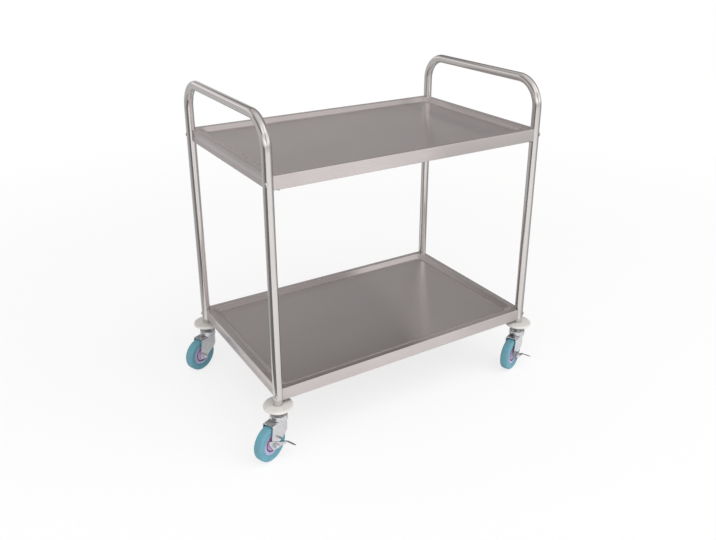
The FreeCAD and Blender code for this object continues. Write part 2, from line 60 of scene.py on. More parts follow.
class Wire:  # a socket that can be added, multiplied and compared
    def __init__(self, board, socket):
        self.board = board
        self.socket = socket

    def sum(self, operation, first, second):
        return self.board.add("Math", {"operation": operation}, {0: first, 1: second})

    def __add__(self, other):
        return self.sum("ADD", self, other)

    def __radd__(self, other):
        return self.sum("ADD", other, self)

    def __sub__(self, other):
        return self.sum("SUBTRACT", self, other)

    def __rsub__(self, other):
        return self.sum("SUBTRACT", other, self)

    def __mul__(self, other):
        return self.sum("MULTIPLY", self, other)

    def __rmul__(self, other):
        return self.sum("MULTIPLY", other, self)

    def __pow__(self, other):
        return self.sum("POWER", self, other)

    def __gt__(self, other):
        return self.sum("GREATER_THAN", self, other)


class Board:  # one node tree and the way nodes go into it
    def __init__(self, tree):
        self.tree = tree
        tree.nodes.clear()

    def add(self, kind, settings, sockets, out=0):
        node = self.tree.nodes.new("ShaderNode" + kind)
        for key, value in settings.items():
            if key == "stops":
                self.setStops(node.color_ramp.elements, value)
            else:
                setattr(node, key, value)
        for key, value in sockets.items():
            if isinstance(value, Wire):
                self.tree.links.new(value.socket, node.inputs[key])
            else:
                node.inputs[key].default_value = value
        return Wire(self, node.outputs[out]) if node.outputs else node

    def setStops(self, elements, stops):
        while len(elements) < len(stops):
            elements.new(1)
        for element, (spot, colour) in zip(elements, stops):
            element.position = spot
            element.color = (*colour, 1)

    def split(self, vector):
        first = self.add("SeparateXYZ", {}, {0: vector})
        return [Wire(self, socket) for socket in first.socket.node.outputs]

    def join(self, x, y, z):
        return self.add("CombineXYZ", {}, {0: x, 1: y, 2: z})

    def noise(self, vector, scale, detail=3, roughness=0.55):
        sockets = {"Vector": vector, "Scale": scale, "Detail": detail, "Roughness": roughness}
        return self.add("TexNoise", {}, sockets)

    def mixColour(self, share, first, second):
        first, second = (tone if isinstance(tone, Wire) else (*tone, 1) for tone in (first, second))
        sockets = {0: share, 6: first, 7: second}  # the node's colour sockets
        return self.add("Mix", {"data_type": "RGBA"}, sockets, out=2)

    def absolute(self, value):
        return self.add("Math", {"operation": "ABSOLUTE"}, {0: value})

    def largest(self, first, second):
        return self.add("Math", {"operation": "MAXIMUM"}, {0: first, 1: second})

    def between(self, value, low, high):  # 0 below low, 1 above high, smooth in the middle
        sockets = {"Value": value, "From Min": low, "From Max": high}
        return self.add("MapRange", {"interpolation_type": "SMOOTHSTEP"}, sockets)

    def bump(self, height, strength, distance, under=None):  # relief, on top of another if given
        sockets = {"Height": height, "Strength": strength, "Distance": distance}
        if under:
            sockets["Normal"] = under
        return self.add("Bump", {}, sockets)

    def surface(self, **sockets):
        named = {key.replace("_", " "): value for key, value in sockets.items()}
        shader = self.add("BsdfPrincipled", {}, named)
        self.add("OutputMaterial", {}, {"Surface": shader})


def newFinish(name):  # a blank material, its board and the piece's own coordinates
    material = bpy.data.materials.new(name)
    material.use_nodes = True
    board = Board(material.node_tree)
    return material, board, board.add("TexCoord", {}, {}, out="Object")


def fromAxis(x, y):  # distance from the piece's own Z axis
    return (x * x + y * y) ** 0.5


# finishes

sheetLook = {
    # paintedShade is the colour of painted shade, used in the tray's crease and on the underside
    "light": (0.675, 0.632, 0.624), "dark": (0.600, 0.560, 0.552), "paintedShade": (0.200, 0.180, 0.172),
    "hairs": 1400, "hairStretch": 6, "hairShare": 0.5, "hairBump": 0.3, "hairDepth": 0.000008,
    "patches": 4, "patchSpan": (0.35, 0.75), "dents": 2.2, "dentBump": 0.25, "dentDepth": 0.0004,
    "rough": 0.225, "skirtRough": 0.055, "slopeRough": 0.075, "hairRough": 0.03, "patchRough": 0.05,
    "paintedShadeLeast": 0.5, "paintedShadeRough": 0.35, "paintedShadeDull": 0.8, "underside": 0.85, "undersideRough": 0.15,
    "stretch": 1.0, "stretchTurn": 0.25,  # highlights spread across the brushing
    "frontFacing": 0.7, "levelFacing": 0.5, "slopeSpan": (0.93, 0.98),
    "creaseHalf": (0.3815, 0.2275), "creaseCorner": 0.0126, "creaseWidth": 0.0036, "creaseCore": 0.3,
}


def brushedSheet(look=sheetLook):  # hairlines follow the sheet, down the front skirts too; painted shade in the crease and under the sheet
    material, board, spot = newFinish("brushedSheet")
    x, y, z = board.split(spot)
    normal = board.split(board.add("NewGeometry", {}, {}, out="Normal"))
    facing = [board.absolute(side) for side in normal]
    onFront = facing[1] > look["frontFacing"]
    onSkirt = 1 - (facing[2] > look["levelFacing"])
    below = (0 - normal[2]) > look["levelFacing"]  # the underside is left rougher, with painted shade in its colour
    onSlope = (1 - board.between(facing[2], *look["slopeSpan"])) * (1 - onSkirt)
    across = y + (z - y) * onFront
    hairs = board.noise(board.join(x * look["hairStretch"], across * look["hairs"], 0), 1, detail=2)
    patches = board.noise(spot, look["patches"], detail=5)
    dents = board.noise(spot, look["dents"], detail=1)

    halfX, halfY = (half - look["creaseCorner"] for half in look["creaseHalf"])
    outX = board.largest(board.absolute(x) - halfX, 0)
    outY = board.largest(board.absolute(y) - halfY, 0)
    outside = fromAxis(outX, outY) - look["creaseCorner"]  # distance from the fold round the tray floor
    core = look["creaseWidth"] * look["creaseCore"]
    fold = 1 - board.between(board.absolute(outside), core, look["creaseWidth"])
    # painted shade: the crease round the tray floor is darkened, mottled by the patches, and made duller
    paintedShade = fold * (1 - onSkirt) * (look["paintedShadeLeast"] + patches * (1 - look["paintedShadeLeast"]))
    wear = board.between(patches, *look["patchSpan"]) * (1 - look["hairShare"]) + hairs * look["hairShare"]
    metal = board.mixColour(wear, look["light"], look["dark"])
    # painted shade: the downward-facing sheet is darkened towards the shade colour
    metal = board.mixColour(below * look["underside"], metal, look["paintedShade"])
    rough = look["rough"] + onSkirt * look["skirtRough"] + onSlope * look["slopeRough"]
    rough = rough + (hairs - noiseMiddle) * look["hairRough"] + (patches - noiseMiddle) * look["patchRough"]
    flat = board.bump(dents, look["dentBump"], look["dentDepth"])
    board.surface(
        Base_Color=board.mixColour(paintedShade, metal, look["paintedShade"]), Metallic=1 - paintedShade * look["paintedShadeDull"],
        Roughness=rough + paintedShade * look["paintedShadeRough"] + below * look["undersideRough"],
        Normal=board.bump(hairs, look["hairBump"], look["hairDepth"], flat),
        Anisotropic=look["stretch"], Anisotropic_Rotation=look["stretchTurn"],
    )
    return material


tubeLook = {
    "light": (0.72, 0.70, 0.685), "dark": (0.64, 0.62, 0.605), "hairs": 1500, "hairStretch": 25,
    "hairShare": 0.6, "patches": 9, "rough": 0.13, "hairRough": 0.03, "patchRough": 0.05,
    "waves": 60, "waveBump": 0.3, "waveDepth": 0.00002,
}


def polishedTube(look=tubeLook):  # drawn tube, fine lines along it and a slight waviness
    material, board, spot = newFinish("polishedTube")
    x, y, z = board.split(spot)
    stretched = board.join(x * look["hairs"], y * look["hairs"], z * look["hairStretch"])
    hairs = board.noise(stretched, 1, detail=2)
    patches = board.noise(spot, look["patches"], detail=4)
    waves = board.noise(spot, look["waves"], detail=1)
    wear = hairs * look["hairShare"] + patches * (1 - look["hairShare"])
    rough = look["rough"] + (hairs - noiseMiddle) * look["hairRough"]
    board.surface(
        Base_Color=board.mixColour(wear, look["light"], look["dark"]), Metallic=1.0,
        Roughness=rough + (patches - noiseMiddle) * look["patchRough"],
        Normal=board.bump(waves, look["waveBump"], look["waveDepth"]),
    )
    return material


cloudLook = {"span": (0.3, 0.7), "rough": 0.08, "fine": 5, "fineBump": 0.06, "fineDepth": 0.00001}
platings = {
    "fastener": {"name": "brightBolt", "light": (0.70, 0.69, 0.68), "dark": (0.60, 0.59, 0.58),
                 "rough": 0.24, "spangle": 260},
    "zinc": {"name": "brightZinc", "light": (0.71, 0.72, 0.745), "dark": (0.62, 0.63, 0.655),
             "rough": 0.17, "spangle": 150},
    "steel": {"name": "plainSteel", "light": (0.58, 0.58, 0.59), "dark": (0.48, 0.48, 0.49),
              "rough": 0.34, "spangle": 200},
}


def platedSteel(name, light, dark, rough, spangle):  # bright metal, faintly clouded
    material, board, spot = newFinish(name)
    cloud = board.noise(spot, spangle, detail=4)
    fine = board.noise(spot, spangle * cloudLook["fine"], detail=1)
    board.surface(
        Base_Color=board.mixColour(board.between(cloud, *cloudLook["span"]), light, dark), Metallic=1.0,
        Roughness=rough + (cloud - noiseMiddle) * cloudLook["rough"],
        Normal=board.bump(fine, cloudLook["fineBump"], cloudLook["fineDepth"]),
    )
    return material


pedalLook = {
    # pedalShade and its mottle are painted shade on the pedal
    "pedalShade": (0.20, 0.20, 0.21), "pedalShadeMottle": (0.32, 0.32, 0.33), "pedalMottleSpan": (0.52, 0.75),
    "pedalSpan": (0.0208, 0.0216), "rough": 0.20, "pedalRough": 0.4, "specular": 0.15,
    "grain": 8, "grainBump": 0.1, "grainDepth": 0.00002,
}


def shadedPedalLever(name, axle, outward, look=pedalLook):  # zinc plate, the pedal given a dull dark colour as painted shade
    material, board, spot = newFinish(name)
    plate = platings["zinc"]
    reach = board.add("VectorMath", {"operation": "DOT_PRODUCT"}, {0: spot, 1: outward}, out="Value")
    # painted shade: beyond the fold the pedal is darkened, made dull and no longer metal
    onPedal = board.between(reach - outward.dot(axle), *look["pedalSpan"])
    cloud = board.noise(spot, plate["spangle"], detail=4)
    grain = board.noise(spot, plate["spangle"] * look["grain"], detail=2)
    zinc = board.mixColour(board.between(cloud, *cloudLook["span"]), plate["light"], plate["dark"])
    pedalShade = board.mixColour(board.between(cloud, *look["pedalMottleSpan"]), look["pedalShade"], look["pedalShadeMottle"])
    board.surface(
        Base_Color=board.mixColour(onPedal, zinc, pedalShade), Metallic=1 - onPedal,
        Specular_IOR_Level=look["specular"],
        Roughness=look["rough"] + onPedal * look["pedalRough"] + (cloud - noiseMiddle) * cloudLook["rough"],
        Normal=board.bump(grain, look["grainBump"], look["grainDepth"]),
    )
    return material


bumperLook = {
    "light": (0.71, 0.71, 0.68), "dark": (0.62, 0.62, 0.59), "scuff": (0.40, 0.395, 0.37),
    "rim": 0.0385, "rimShare": 0.94, "smear": 60, "scuffSpan": (0.60, 0.72), "scuffShare": 0.5,
    "rough": 0.44, "smearRough": 0.16, "grain": 1400, "grainBump": 0.4, "grainDepth": 0.00006,
}


def paleBumper(look=bumperLook):  # satin moulding, scuffed along its rim
    material, board, spot = newFinish("paleBumper")
    x, y, _ = board.split(spot)
    smear = board.noise(spot, look["smear"], detail=5)
    grain = board.noise(spot, look["grain"], detail=2)
    onRim = board.between(fromAxis(x, y), look["rim"] * look["rimShare"], look["rim"])
    scuffs = board.between(smear, *look["scuffSpan"]) * onRim
    body = board.mixColour(smear, look["light"], look["dark"])
    board.surface(
        Base_Color=board.mixColour(scuffs * look["scuffShare"], body, look["scuff"]),
        Roughness=look["rough"] + smear * look["smearRough"],
        Normal=board.bump(grain, look["grainBump"], look["grainDepth"]),
    )
    return material


tyreLook = {
    "light": (0.135, 0.370, 0.455), "dark": (0.100, 0.290, 0.365), "mottle": 55,
    "dust": (0.22, 0.28, 0.29), "dustSpan": (0.45, 0.8), "dustShare": 0.45, "treadSpan": (0.0465, 0.0485),
    "ribs": 150, "ribShare": 0.5, "grain": 1500, "grainShare": 0.15, "relief": 0.6, "ribDepth": 0.00025,
    "rough": 0.40, "mottleRough": 0.18, "treadRough": 0.06,
}


def tealTyre(look=tyreLook):  # fine ribs across the tread, a little dust on it
    material, board, spot = newFinish("tealTyre")
    x, y, _ = board.split(spot)
    turn = board.add("Math", {"operation": "ARCTAN2"}, {0: y, 1: x})
    ribs = board.add("Math", {"operation": "SINE"}, {0: turn * look["ribs"]})
    onTread = board.between(fromAxis(x, y), *look["treadSpan"])
    mottle = board.noise(spot, look["mottle"], detail=5)
    grain = board.noise(spot, look["grain"], detail=2)
    body = board.mixColour(mottle, look["light"], look["dark"])
    dust = onTread * board.between(mottle, *look["dustSpan"]) * look["dustShare"]
    height = grain * look["grainShare"] + ribs * onTread * look["ribShare"]
    board.surface(
        Base_Color=board.mixColour(dust, body, look["dust"]),
        Roughness=look["rough"] + mottle * look["mottleRough"] + onTread * look["treadRough"],
        Normal=board.bump(height, look["relief"], look["ribDepth"]),
    )
    return material


hubLook = {
    "rim": (0.42, 0.405, 0.60), "light": (0.52, 0.37, 0.60), "dark": (0.44, 0.30, 0.52), "mottle": 70,
    "grooveShade": (0.085, 0.040, 0.115), "grooveShadeShare": 0.85, "bedSpan": (0.0082, 0.0098),
    "grooveIn": (0.0180, 0.0187), "grooveOut": (0.0223, 0.0230), "rimSpan": (0.0222, 0.0228),
    "rough": 0.36, "mottleRough": 0.14, "grain": 1800, "grainBump": 0.3, "grainDepth": 0.00005,
}


def lilacHub(look=hubLook):  # moulded plastic, with painted shade down in the ring groove
    material, board, spot = newFinish("lilacHub")
    x, y, z = board.split(spot)
    radius = fromAxis(x, y)
    mottle = board.noise(spot, look["mottle"], detail=4)
    grain = board.noise(spot, look["grain"], detail=2)
    inRing = board.between(radius, *look["grooveIn"]) * (1 - board.between(radius, *look["grooveOut"]))
    # painted shade: the bed of the ring groove is darkened
    depth = (1 - board.between(board.absolute(z), *look["bedSpan"])) * inRing
    body = board.mixColour(mottle, look["light"], look["dark"])
    body = board.mixColour(board.between(radius, *look["rimSpan"]), body, look["rim"])
    board.surface(
        Base_Color=board.mixColour(depth * look["grooveShadeShare"], body, look["grooveShade"]),
        Roughness=look["rough"] + mottle * look["mottleRough"],
        Normal=board.bump(grain, look["grainBump"], look["grainDepth"]),
    )
    return material


nylonLook = {
    "light": (0.80, 0.80, 0.76), "dark": (0.72, 0.72, 0.68), "mottle": 90, "rough": 0.45, "mottleRough": 0.1,
    "grain": 1500, "grainBump": 0.2, "grainDepth": 0.00005,
}


def plainNylon(look=nylonLook):
    material, board, spot = newFinish("plainNylon")
    mottle = board.noise(spot, look["mottle"])
    grain = board.noise(spot, look["grain"])
    board.surface(
        Base_Color=board.mixColour(mottle, look["light"], look["dark"]),
        Roughness=look["rough"] + mottle * look["mottleRough"],
        Normal=board.bump(grain, look["grainBump"], look["grainDepth"]),
    )
    return material


finishes = {
    "tube": polishedTube(),
    "sheet": brushedSheet(),
    **{slotName: platedSteel(**plating) for slotName, plating in platings.items()},
    "bumper": paleBumper(),
    "tyre": tealTyre(),
    "hub": lilacHub(),
    "nylon": plainNylon(),
}
for row in frame["record"]["subparts"]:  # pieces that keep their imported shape
    nodes[row["node"]].material_slots[0].material = finishes[row["material_slot"]]
print("finishes made:", len(finishes))


# mesh making

meshCare = {"weld": 1e-6, "sliver": 1e-7, "edgeSegments": 2, "edgeAngle": 50}


def roundCorners(spots, steps, closed=True):  # corners (across, up, radius) to a run of points
    points = [Vector(spot[:2]) for spot in spots]
    path = []
    for index, spot in enumerate(spots):
        here = points[index]
        atEnd = not closed and index in (0, len(spots) - 1)
        if atEnd or len(spot) < 3 or not spot[2]:
            path.append(here)
            continue
        before = (points[index - 1] - here).normalized()
        after = (points[(index + 1) % len(points)] - here).normalized()
        half = before.angle(after) / 2
        centre = here + (before + after).normalized() * (spot[2] / math.sin(half))
        start = here + before * (spot[2] / math.tan(half)) - centre
        end = here + after * (spot[2] / math.tan(half)) - centre
        sweep = math.atan2(start.x * end.y - start.y * end.x, start.dot(end))
        path += [centre + Matrix.Rotation(sweep * step / steps, 2) @ start for step in range(steps + 1)]
    return path


def arcPoints(centreX, centreY, radius, first, last, steps):  # points along an arc, with both ends
    angles = [first + (last - first) * step / steps for step in range(steps + 1)]
    return [Vector((centreX + radius * math.cos(a), centreY + radius * math.sin(a))) for a in angles]


def tangent(away, radius, side):  # heading at which an edge from there meets a circle about the origin
    return math.atan2(away.y, away.x) + side * math.acos(radius / away.length)


def placeObject(name, data):  # a new object in the scene
    made = bpy.data.objects.new(name, data)
    bpy.context.scene.collection.objects.link(made)
    return made


class Shape:  # points and faces of one piece, gathered part by part
    def __init__(self):
        self.points = []
        self.faces = []

    def grid(self, rows, wrapAcross=True, wrapRows=False):  # rows of points, skinned to each other
        start, wide, tall = len(self.points), len(rows[0]), len(rows)
        for row in rows:
            self.points += [Vector(point) for point in row]
        for r in range(tall if wrapRows else tall - 1):
            near, far = start + r * wide, start + (r + 1) % tall * wide
            for c in range(wide if wrapAcross else wide - 1):
                side = (c + 1) % wide
                self.faces.append([near + c, near + side, far + side, far + c])
        return start

    def cap(self, first, count):
        self.faces.append(list(range(first, first + count)))

    def turned(self, profile, sides, flats=0, lift=None):  # closed (radius, height) run about Z
        sixth = math.pi / 3
        rows = []
        for radius, height in profile:
            row = []
            for side in range(sides):
                angle = 2 * math.pi * side / sides
                reach = radius
                if flats:  # trimmed to a hexagon of that width
                    reach = min(radius, flats / 2 / math.cos((angle + sixth / 2) % sixth - sixth / 2))
                row.append(Vector((reach * math.cos(angle), reach * math.sin(angle), height)))
            rows.append([lift @ point for point in row] if lift else row)
        self.grid(rows, wrapRows=True)

    def mesh(self, name, material):
        mesh = bpy.data.meshes.new(name)
        mesh.from_pydata(self.points, [], self.faces)
        mesh.materials.append(material)
        return mesh

    def piece(self, name, body, slotName, replaced, place=None, sharp=34, finish=None):
        mesh = self.mesh(name, finish or finishes[slotName])
        work = bmesh.new()
        work.from_mesh(mesh)
        bmesh.ops.remove_doubles(work, verts=work.verts, dist=meshCare["weld"])
        bmesh.ops.dissolve_degenerate(work, edges=work.edges, dist=meshCare["sliver"])
        bmesh.ops.recalc_face_normals(work, faces=work.faces)
        work.to_mesh(mesh)
        work.free()
        mesh.shade_smooth()
        mesh.set_sharp_from_angle(angle=math.radians(sharp))
        made = placeObject(name, mesh)
        made.matrix_world = place or Matrix()
        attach(made, body)
        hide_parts(*replaced)
        return made


def thicken(made, thickness, edge):  # sheet metal: a skin with thickness and softened cut edges
    solid = made.modifiers.new("sheet", "SOLIDIFY")
    solid.thickness = thickness
    solid.offset = -1
    solid.use_even_offset = True
    soft = made.modifiers.new("edge", "BEVEL")
    soft.width = edge
    soft.segments = meshCare["edgeSegments"]
    soft.limit_method = "ANGLE"
    soft.angle_limit = math.radians(meshCare["edgeAngle"])
    return made


# end frames

frameTube = {"wall": 0.0012, "bend": 0.076, "sides": 64, "bendSteps": 22, "sharp": 40}


def endFrame(side, node):
    low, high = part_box(node)
    radius = (high.x - low.x) / 2
    middle, reach, top = (low.x + high.x) / 2, high.y - radius, high.z - radius
    bend, count = frameTube["bend"], frameTube["sides"]
    line = [(-reach, low.z), (-reach, top, bend), (reach, top, bend), (reach, low.z)]
    path = roundCorners(line, frameTube["bendSteps"], closed=False)
    shape = Shape()
    starts = []
    for bore in (radius, radius - frameTube["wall"]):
        rows = []
        for index, spot in enumerate(path):
            ahead = path[min(index + 1, len(path) - 1)] - path[max(index - 1, 0)]
            out = Vector((-ahead.y, ahead.x)).normalized()
            row = []
            for step in range(count):
                angle = 2 * math.pi * step / count
                flat = spot + out * bore * math.cos(angle)
                row.append((middle + bore * math.sin(angle), flat.x, flat.y))
            rows.append(row)
        starts.append(shape.grid(rows))
    outer, inner = starts
    for row in (0, len(path) - 1):  # the cut ends of the tube
        for step in range(count):
            here, there = row * count + step, row * count + (step + 1) % count
            shape.faces.append([outer + here, outer + there, inner + there, inner + here])
    return shape.piece(f"{side}EndTube", "frame", "tube", [node], sharp=frameTube["sharp"])


for side in ("left", "right"):
    endFrame(side, f"{side}_end_frame")
print("end frames made")


# shelves

shelfSheet = {
    "sheet": 0.001, "edge": 0.0003, "fold": 0.0011, "hem": 0.010, "ledge": 0.016, "ledgeShare": 0.6,
    "slope": 0.019, "depth": 0.0115, "floorShare": 1.5, "lipRadius": 0.004, "floorRadius": 0.009,
    "corner": 0.024, "cornerLoss": 0.6, "notch": 0.0129, "sharp": 38,
    "arcSteps": 14, "sideSteps": 10, "foldSteps": 5, "bendSteps": 6,
    "brushPlace": (3, 100, 0), "brushSize": (1, 1, 1),  # far off to one side, so the brushing runs along X
}


def evenly(start, end, count):  # points strictly between two corners
    return [start.lerp(end, step / count) for step in range(1, count)]


def cornerLoop(centreX, centreY, radius, first, last):  # one arc at all four corners, joined up
    arc = arcPoints(centreX, centreY, radius, first, last, shelfSheet["arcSteps"])
    arcs = []
    for sideX, sideY in ((1, -1), (1, 1), (-1, 1), (-1, -1)):  # corners in turn, seen from above
        turned = [Vector((sideX * spot.x, sideY * spot.y)) for spot in arc]
        arcs.append(turned[::-1] if sideX * sideY < 0 else turned)
    loop = []
    for index, here in enumerate(arcs):
        loop += here + evenly(here[-1], arcs[(index + 1) % len(arcs)][0], shelfSheet["sideSteps"])
    return loop


def shelf(level):
    low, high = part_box(f"{level}_shelf")
    legX, legY = (abs(value) for value in joints["front_left_swivel"]["pos_m"][:2])
    fold, ledge = shelfSheet["fold"], shelfSheet["ledge"]

    def notched(inset):  # outer loop with a hollow at every leg
        across, up = high.x - inset - legX, high.y - inset - legY
        bore = shelfSheet["notch"] + min(inset, fold)
        first = math.atan2(-math.sqrt(bore ** 2 - across ** 2), across)
        last = math.atan2(up, -math.sqrt(bore ** 2 - up ** 2)) % (2 * math.pi) - 2 * math.pi
        return cornerLoop(legX, legY, bore, first, last)

    def roundRectangle(inset):  # its corners tighten down the slope
        radius = max(shelfSheet["corner"] - max(inset - ledge, 0) * shelfSheet["cornerLoss"], fold)
        return cornerLoop(high.x - inset - radius, high.y - inset - radius, radius, 0, math.pi / 2)

    onLedge = (ledge * shelfSheet["ledgeShare"], high.z)  # where the skirt's loops pass into the tray's
    skirt = roundCorners(
        [(shelfSheet["hem"], low.z), (0, low.z, fold), (0, high.z, fold), onLedge],
        shelfSheet["foldSteps"], closed=False,
    )
    floorInset = ledge + shelfSheet["slope"]
    floorHeight = high.z - shelfSheet["depth"]
    tray = roundCorners(
        [onLedge, (ledge, high.z, shelfSheet["lipRadius"]),
         (floorInset, floorHeight, shelfSheet["floorRadius"]),
         (floorInset * shelfSheet["floorShare"], floorHeight)],
        shelfSheet["bendSteps"], closed=False,
    )
    loops = [(notched(inset), height) for inset, height in skirt[:-1]]
    loops += [(roundRectangle(inset), height) for inset, height in tray[1:]]
    rows = [[(spot.x, spot.y, height) for spot in loop] for loop, height in loops]
    shape = Shape()
    start = shape.grid(rows)
    shape.cap(start + (len(rows) - 1) * len(rows[0]), len(rows[0]))
    made = shape.piece(
        f"{level}ShelfSheet", "frame", "sheet", [f"{level}_shelf"], sharp=shelfSheet["sharp"],
    )
    made.data.use_auto_texspace = False
    made.data.texspace_location = shelfSheet["brushPlace"]
    made.data.texspace_size = shelfSheet["brushSize"]
    return thicken(made, shelfSheet["sheet"], shelfSheet["edge"])


for level in ("lower", "upper"):
    shelf(level)
print("shelves made")


# shelf bolts

domeBolt = {
    "head": 0.0115, "rise": 0.0034, "brim": 0.0006, "shank": 0.006, "length": 0.034, "tip": 0.0008,
    "domeSteps": 10, "sides": 40,
}


def shelfBolts(level):
    low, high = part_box(f"{level}_shelf_bolts")
    tubeRadius = (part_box("left_end_frame")[1].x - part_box("left_end_frame")[0].x) / 2
    head, shank, brim = domeBolt["head"] / 2, domeBolt["shank"] / 2, domeBolt["brim"]
    end, tip = -domeBolt["length"], domeBolt["tip"]
    rise = domeBolt["rise"] - brim
    ball = (head ** 2 + rise ** 2) / (2 * rise)  # radius of the dome
    spread = math.asin(head / ball)
    profile = [(0, end), (shank - tip, end), (shank, end + tip), (shank, 0), (head, 0)]
    edge, middle = math.pi / 2 - spread, math.pi / 2
    profile += arcPoints(0, brim + rise - ball, ball, edge, middle, domeBolt["domeSteps"])
    shape = Shape()
    for corner in corners:
        x, y, _ = joints[f"{corner}_swivel"]["pos_m"]
        out = Vector((math.copysign(1, x), math.copysign(1, y), 0)).normalized()
        seat = Vector((x, y, (low.z + high.z) / 2)) + out * tubeRadius
        lift = Matrix.Translation(seat) @ out.to_track_quat("Z", "Y").to_matrix().to_4x4()
        shape.turned(profile, domeBolt["sides"], lift=lift)
    return shape.piece(f"{level}DomeBolts", "frame", "fastener", [f"{level}_shelf_bolts"])


for level in ("lower", "upper"):
    shelfBolts(level)
print("bolts made")


# bumpers

bumperDisc = {
    "edge": 0.0040, "crown": 0.0009, "shoulder": 0.72, "blend": 0.2, "bore": 0.0062, "seat": 0.0129,
    "seatDepth": 0.004, "seatEdge": 0.0006, "parting": 0.00025, "bendSteps": 8, "sides": 128, "sharp": 45,
}


def bumper(corner):
    low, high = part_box(f"{corner}_bumper")
    rim, thick, edge = (high.x - low.x) / 2, high.z - low.z, bumperDisc["edge"]
    line, top = bumperDisc["parting"], thick - bumperDisc["crown"]
    bore, seat, seatFloor = bumperDisc["bore"], bumperDisc["seat"], thick - bumperDisc["seatDepth"]
    profile = roundCorners([
        (bore, 0), (rim, 0, edge), (rim, thick / 2 - line), (rim - line, thick / 2), (rim, thick / 2 + line),
        (rim, top, edge), (rim * bumperDisc["shoulder"], thick, rim * bumperDisc["blend"]),
        (seat, thick, bumperDisc["seatEdge"]), (seat, seatFloor), (bore, seatFloor),
    ], bumperDisc["bendSteps"])
    shape = Shape()
    shape.turned(profile, bumperDisc["sides"])
    place = Matrix.Translation(((low.x + high.x) / 2, (low.y + high.y) / 2, low.z))
    return shape.piece(
        f"{corner}.bumperDisc", "frame", "bumper", [f"{corner}_bumper"], place, sharp=bumperDisc["sharp"],
    )


for corner in corners:
    bumper(corner)
print("bumpers made")


# castors, drawn with the trail along X, the near side along Y and the floor at 0

hexagon = {"slant": 0.58, "sides": 96}


def hexReach(flats):  # a hexagon's reach to its corners, and how far a chamfer takes them back
    wide = flats / math.sqrt(3)
    return wide, wide - flats / 2


swivel = {
    "stem": 0.006, "hex": 0.019, "hexHeight": 0.008, "shoulder": 0.009,
    "rivet": 0.009, "rivetEdge": 0.001, "rivetHeight": 0.003,
    "cup": 0.0235, "wall": 0.0022, "gap": 0.0008, "rim": 0.003, "edge": 0.0030, "ceilingEdge": 0.002,
    "bead": 0.0005, "beadHeight": 0.0035, "beadTop": 0.0042, "beadFoot": 0.0004, "beadEdge": 0.0006,
    "recess": 0.0130, "recessSlope": 0.003, "recessEdge": 0.002, "recessFoot": 0.0012,
    "bendSteps": 5, "sides": 96, "shoulderSides": 64, "pinSides": 48,
}


def stemAndCup(corner, place, crown):
    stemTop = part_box(f"{corner}_stem")[1].z
    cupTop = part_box(f"{corner}_cup")[1].z
    floor = cupTop - swivel["rim"]
    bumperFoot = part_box(f"{corner}_bumper")[0].z
    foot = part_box(f"{corner}_stem")[0].z
    shape = Shape()
    pin, hexTop = swivel["stem"], floor + swivel["hexHeight"]
    rivet, edge, rivetTop = swivel["rivet"], swivel["rivetEdge"], foot + swivel["rivetHeight"]
    shape.turned([
        (0, foot), (rivet - edge, foot), (rivet, foot + edge), (rivet, rivetTop), (pin, rivetTop),
        (pin, floor), (0, floor),
    ], swivel["pinSides"])
    wide, chamfer = hexReach(swivel["hex"])
    rim = chamfer * hexagon["slant"]
    shape.turned([
        (0, floor), (wide - chamfer, floor), (wide, floor + rim), (wide, hexTop - rim),
        (wide - chamfer, hexTop), (0, hexTop),
    ], hexagon["sides"], flats=swivel["hex"])
    shape.turned([
        (0, hexTop), (swivel["shoulder"], hexTop), (swivel["shoulder"], bumperFoot), (pin, bumperFoot),
        (pin, stemTop), (0, stemTop),
    ], swivel["shoulderSides"])
    shape.piece(f"{corner}.stemBolt", "frame", "zinc", [f"{corner}_stem"], place)

    cup, inner, ceiling = swivel["cup"], swivel["cup"] - swivel["wall"], floor - swivel["wall"]
    bead, cupFoot = cup + swivel["bead"], crown + swivel["gap"]
    profile = roundCorners([
        (pin, ceiling), (inner, ceiling, swivel["ceilingEdge"]), (inner, cupFoot),
        (bead, cupFoot, swivel["beadFoot"]), (bead, crown + swivel["beadHeight"], swivel["beadEdge"]),
        (cup, crown + swivel["beadTop"], swivel["beadEdge"]), (cup, cupTop, swivel["edge"]),
        (swivel["recess"] + swivel["recessSlope"], cupTop, swivel["recessEdge"]),
        (swivel["recess"], floor, swivel["recessFoot"]), (pin, floor),
    ], swivel["bendSteps"])
    shape = Shape()
    shape.turned(profile, swivel["sides"])
    shape.piece(f"{corner}.swivelCup", "frame", "zinc", [f"{corner}_cup"], place)


forkSheet = {
    "sheet": 0.0025, "fold": 0.0042, "half": 0.0175, "reach": 0.042, "lead": 0.023, "kneeLead": 0.0185,
    "kneeHeight": 0.021, "kneeRadius": 0.020, "legEnd": 0.012, "curlFrom": -0.004, "curlRadius": 0.021,
    "edge": 0.0005, "columns": 24, "rows": 26, "foldSteps": 7, "kneeSteps": 8, "endSteps": 24, "sharp": 50,
}
lowerRace = {
    "bore": 0.0062, "gap": 0.0023, "height": 0.0025, "lift": 0.0002, "footEdge": 0.0008, "edge": 0.0006,
    "bendSteps": 4, "sides": 96,
}


